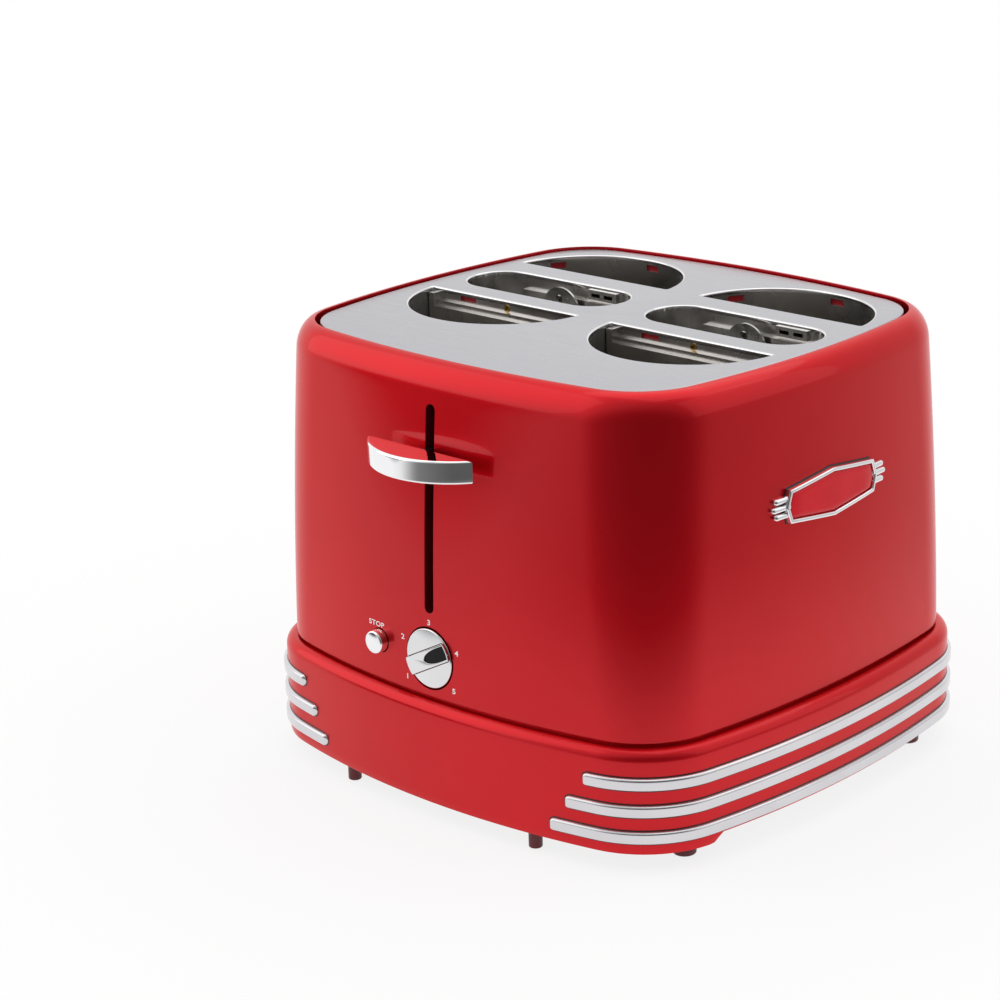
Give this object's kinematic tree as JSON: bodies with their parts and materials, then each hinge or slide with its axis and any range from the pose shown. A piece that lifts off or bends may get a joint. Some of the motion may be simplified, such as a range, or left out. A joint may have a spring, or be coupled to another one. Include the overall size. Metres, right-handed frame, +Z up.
{
  "type": "hot dog toaster",
  "caption": "Retro style hot dog toaster with half-round bun slots, hot dog slots with lift-out wire cages, a front lever, timer dial, stop button and rear crumb tray.",
  "frame": {"origin": "middle of the footprint on the surface that the feet stand on", "axes": "+X to the right along the lever face, +Y to the rear, +Z up; the lever, dial and stop button face -Y"},
  "size_m": [0.3058, 0.3172, 0.2345],
  "materials": {
    "red_enamel": "gloss candy red enamel on steel sheet",
    "red_base": "gloss red moulded plastic",
    "plate_steel": "fine brushed stainless sheet",
    "chrome": "polished chrome plating",
    "badge_enamel": "deep red enamel",
    "inner_steel": "bright steel sheet",
    "frame_steel": "galvanised steel sheet",
    "rest_steel": "bright steel strip",
    "cage_wire": "nickel plated wire",
    "mica": "mica sheet",
    "heater_wire": "nickel chrome ribbon",
    "eyelet_brass": "brass eyelet",
    "winding": "enamelled copper winding",
    "board": "phenolic circuit board",
    "dark_plastic": "black moulded plastic",
    "foot_rubber": "dark red rubber",
    "spring_steel": "spring steel wire"
  },
  "bodies": {
    "root": {"base_housing": "red_base", "bottom_plate": "frame_steel", "outer_shell": "red_enamel", "top_plate": "plate_steel", "trim_strip_left_upper": "chrome", "trim_strip_left_middle": "chrome", "trim_strip_left_lower": "chrome", "trim_strip_right_upper": "chrome", "trim_strip_right_middle": "chrome", "trim_strip_right_lower": "chrome", "badge_frame": "chrome", "badge_inlay": "badge_enamel", "bun_chute_front_left": "inner_steel", "bun_chute_front_right": "inner_steel", "bun_chute_rear_left": "inner_steel", "bun_chute_rear_right": "inner_steel", "guard_panel_front_left": "inner_steel", "guard_panel_front_right": "inner_steel", "guard_panel_rear_left": "inner_steel", "guard_panel_rear_right": "inner_steel", "hot_dog_guide_left": "inner_steel", "hot_dog_guide_right": "inner_steel", "heater_board_front_left": "mica", "heater_board_front_right": "mica", "heater_board_rear_left": "mica", "heater_board_rear_right": "mica", "heater_wires": "heater_wire", "chassis_front": "frame_steel", "chassis_rear": "frame_steel", "chassis_left": "frame_steel", "chassis_right": "frame_steel", "guide_rods": "frame_steel", "magnet_core": "frame_steel", "magnet_coil": "winding", "control_board": "board", "timer_control": "dark_plastic", "stop_switch": "dark_plastic", "panel_eyelets": "eyelet_brass", "front_feet": "foot_rubber", "corner_feet": "foot_rubber", "base_screws": "frame_steel", "cord_gland": "dark_plastic", "terminal_block": "dark_plastic", "return_spring": "spring_steel"},
    "carriage": {"lever_handle": "chrome", "lever_arm": "frame_steel", "carriage_spine": "frame_steel", "bun_rest_front_left": "rest_steel", "bun_rest_front_right": "rest_steel", "bun_rest_rear_left": "rest_steel", "bun_rest_rear_right": "rest_steel", "cage_lift_left": "rest_steel", "cage_lift_right": "rest_steel", "armature_plate": "frame_steel"},
    "cage_left": {"hot_dog_cage_left": "cage_wire"},
    "cage_right": {"hot_dog_cage_right": "cage_wire"},
    "dial": {"dial_knob": "chrome", "dial_shaft": "frame_steel"},
    "stop_button": {"stop_button": "chrome"},
    "crumb_tray": {"crumb_tray": "frame_steel"}
  },
  "joints": [
    {"name": "carriage_slide", "type": "slide", "parent": "root", "child": "carriage", "axis": [0, 0, -1], "range_m": [-0.0195, 0.0755], "stiffness_N_per_m": 150, "springref_m": -0.08, "deforming": ["return_spring"]},
    {"name": "cage_left_lift", "type": "slide", "parent": "carriage", "child": "cage_left", "axis": [0, 0, 1], "range_m": [0, 0.15]},
    {"name": "cage_right_lift", "type": "slide", "parent": "carriage", "child": "cage_right", "axis": [0, 0, 1], "range_m": [0, 0.15]},
    {"name": "dial_turn", "type": "hinge", "parent": "root", "child": "dial", "pos_m": [0, -0.14, 0.0848], "axis": [0, 1, 0], "range_deg": [-187.5, 59.5]},
    {"name": "stop_press", "type": "slide", "parent": "root", "child": "stop_button", "axis": [0, 1, 0], "range_m": [0, 0.003], "stiffness_N_per_m": 500, "springref_m": -0.001},
    {"name": "tray_slide", "type": "slide", "parent": "root", "child": "crumb_tray", "axis": [0, 1, 0], "range_m": [0, 0.19]}
  ]
}
